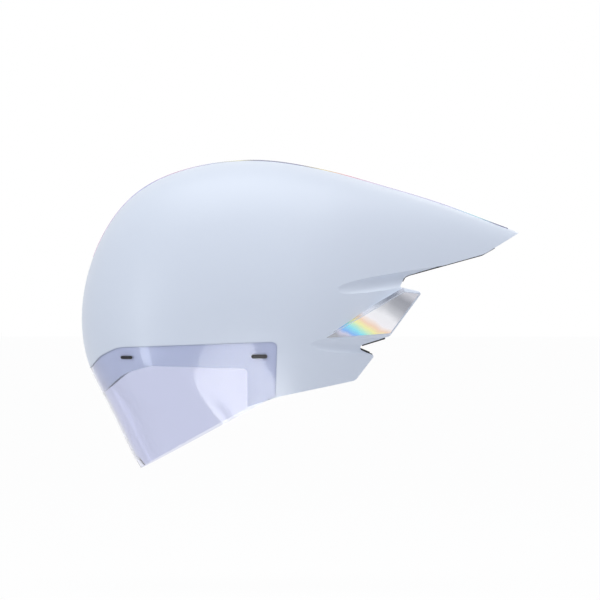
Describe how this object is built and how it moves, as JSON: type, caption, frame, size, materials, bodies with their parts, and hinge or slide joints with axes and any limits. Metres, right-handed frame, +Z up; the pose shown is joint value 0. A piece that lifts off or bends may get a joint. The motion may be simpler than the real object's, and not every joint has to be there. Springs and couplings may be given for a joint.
{
  "type": "aero time trial helmet",
  "caption": "Long-tailed aero cycling helmet with raised side fins, a clear wrap visor held by magnets, foam liner, dial-adjusted rear cradle and folded chin webbing.",
  "frame": {"origin": "centre of the wearer's head at the level of the head band", "axes": "+X towards the tail, -X towards the front, +Y towards the wearer's right, +Z up as pictured"},
  "size_m": [0.3808, 0.1986, 0.268],
  "materials": {
    "shell": "satin",
    "foil": "gloss",
    "lens": "gloss",
    "magnet": "satin",
    "foam": "matte",
    "pad": "matte",
    "fit_plastic": "matte",
    "dial": "satin",
    "spring": "satin",
    "webbing": "matte",
    "buckle": "satin"
  },
  "bodies": {
    "helmet": {"outer_shell": "shell", "crown_foil": "foil", "fin_foil_left": "foil", "fin_foil_right": "foil", "magnet_keepers": "magnet", "eps_liner": "foam", "forehead_pad": "pad", "crown_pads": "pad", "side_pad_left": "pad", "side_pad_right": "pad", "ear_pad_left": "pad", "ear_pad_right": "pad", "head_band": "fit_plastic", "temple_anchors": "fit_plastic", "height_rail": "fit_plastic", "side_belt_left": "fit_plastic", "side_belt_right": "fit_plastic", "strap_anchors": "fit_plastic", "front_strap_left": "webbing", "front_strap_right": "webbing", "rear_strap_left": "webbing", "rear_strap_right": "webbing", "chin_strap_left": "webbing", "chin_strap_right": "webbing", "strap_divider_left": "buckle", "strap_divider_right": "buckle", "buckle_base": "buckle"},
    "visor": {"visor_lens": "lens", "visor_magnets": "magnet"},
    "runner": {"height_runner": "fit_plastic", "cradle_hanger": "fit_plastic"},
    "cradle_body": {"cradle": "fit_plastic", "cradle_pads": "pad", "housing_cover": "fit_plastic", "dial_housing": "fit_plastic", "detent_spring": "spring"},
    "dial": {"dial_knob": "dial", "dial_pinion": "fit_plastic"},
    "left_rack": {"rack_left": "fit_plastic"},
    "right_rack": {"rack_right": "fit_plastic"},
    "catch": {"buckle_catch": "buckle"}
  },
  "joints": [
    {"name": "visor_pull_off", "type": "slide", "parent": "helmet", "child": "visor", "axis": [-0.6, 0, -0.8], "range_m": [0, 0.12]},
    {"name": "cradle_height", "type": "slide", "parent": "helmet", "child": "runner", "axis": [-0.2079, 0, 0.9781], "range_m": [0, 0.016]},
    {"name": "cradle_draw", "type": "slide", "parent": "runner", "child": "cradle_body", "axis": [-0.9659, 0, 0.2588], "range_m": [0, 0.0086], "deforming": ["cradle_hanger"]},
    {"name": "dial_turn", "type": "hinge", "parent": "cradle_body", "child": "dial", "pos_m": [0.0839, 0, -0.02355], "axis": [0.9659, 0, -0.2588], "range_deg": [0, 90]},
    {"name": "rack_left_draw", "type": "slide", "parent": "cradle_body", "child": "left_rack", "axis": [0, 1, 0], "range_m": [0, 0.0086], "deforming": ["side_belt_left"]},
    {"name": "rack_right_draw", "type": "slide", "parent": "cradle_body", "child": "right_rack", "axis": [0, -1, 0], "range_m": [0, 0.0086], "deforming": ["side_belt_right"]},
    {"name": "buckle_slide", "type": "slide", "parent": "helmet", "child": "catch", "axis": [0, 0, 1], "range_m": [0, 0.012], "deforming": ["chin_strap_right"]}
  ],
  "couplings": [
    {"joint": "cradle_draw", "follows": "dial_turn", "m_per_rad": 0.0054},
    {"joint": "rack_left_draw", "follows": "dial_turn", "m_per_rad": 0.0054},
    {"joint": "rack_right_draw", "follows": "dial_turn", "m_per_rad": 0.0054}
  ]
}
